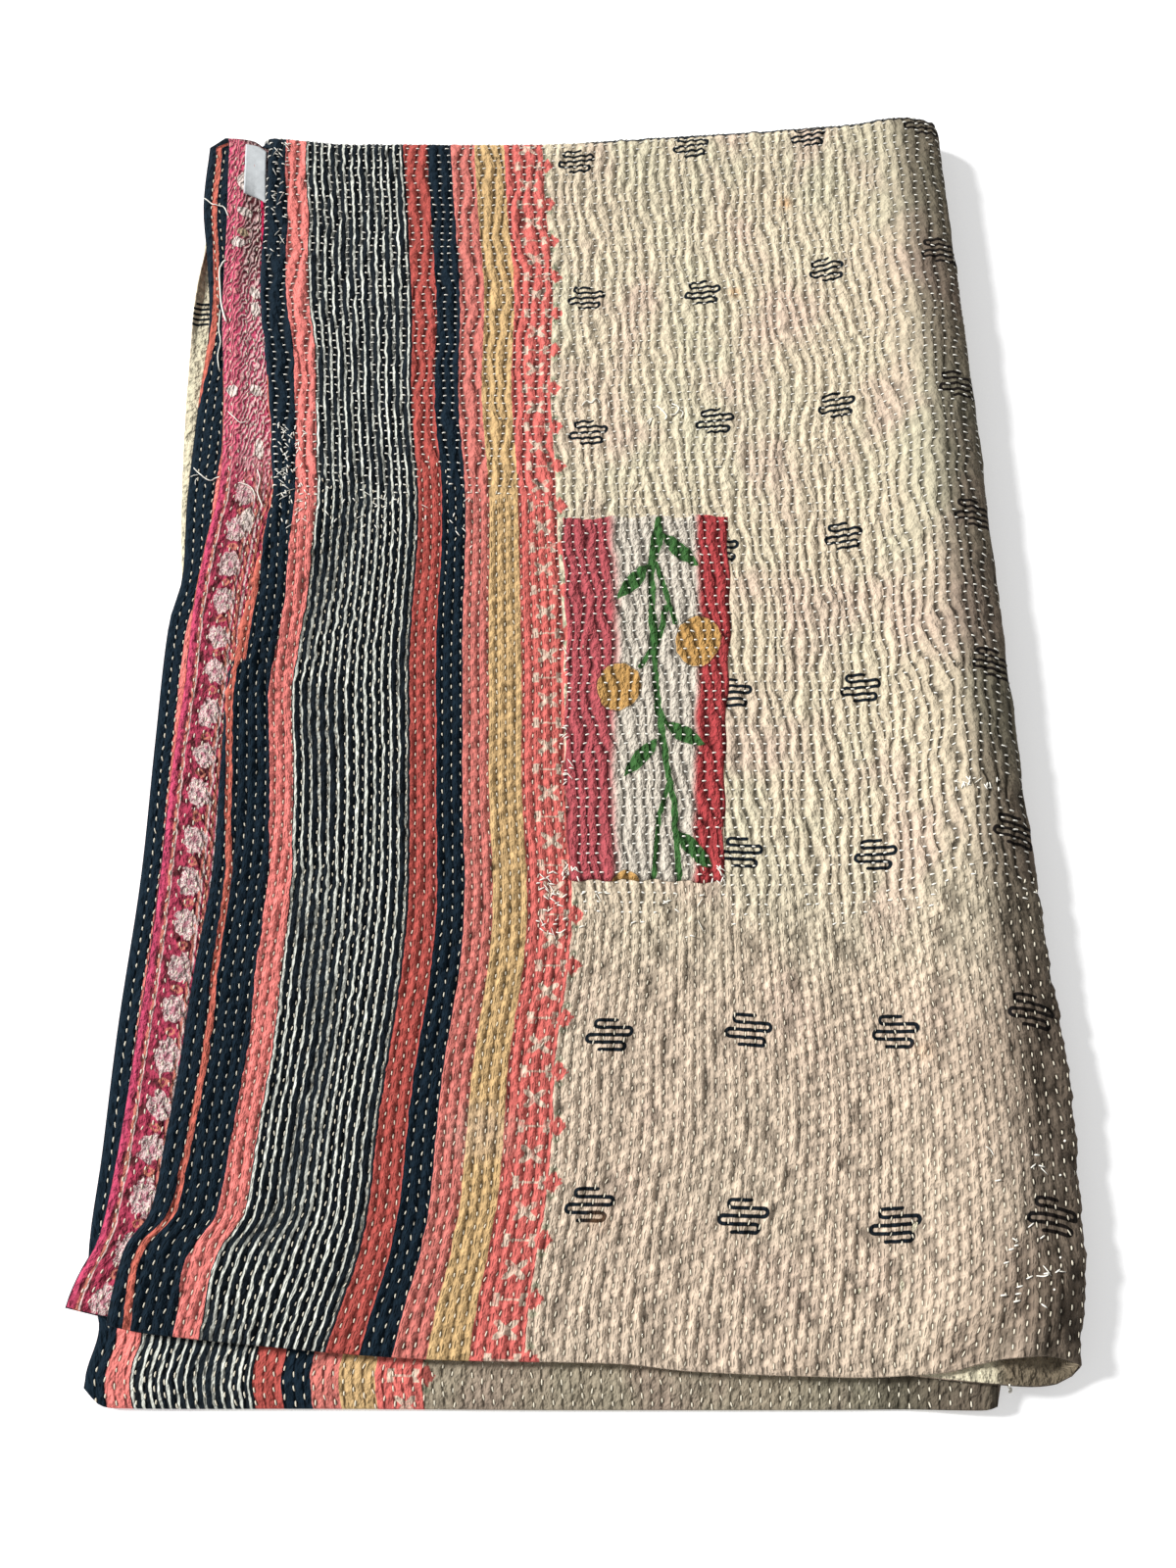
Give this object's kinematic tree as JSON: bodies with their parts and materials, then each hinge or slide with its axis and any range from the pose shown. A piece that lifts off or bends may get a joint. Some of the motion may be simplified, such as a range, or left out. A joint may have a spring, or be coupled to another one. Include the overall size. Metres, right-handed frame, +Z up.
{
  "type": "folded kantha quilt",
  "caption": "Hand-stitched quilt of old sari cloth, folded flat into a layered rectangle, with ridged rows of running stitch, a sewn-on patch and a blank side label.",
  "frame": {"origin": "middle of the folded quilt's outline, on the surface that it lies on", "axes": "+X to the right, towards the long fold; +Y from the near hems towards the far fold; +Z up"},
  "size_m": [0.7044, 1.0702, 0.0349],
  "materials": {
    "kantha_quilt": "matte cotton",
    "vine_patch": "matte cotton",
    "side_label": "satin"
  },
  "bodies": {
    "root": {"kantha_quilt": "kantha_quilt", "vine_patch": "vine_patch", "side_label": "side_label"}
  },
  "joints": []
}
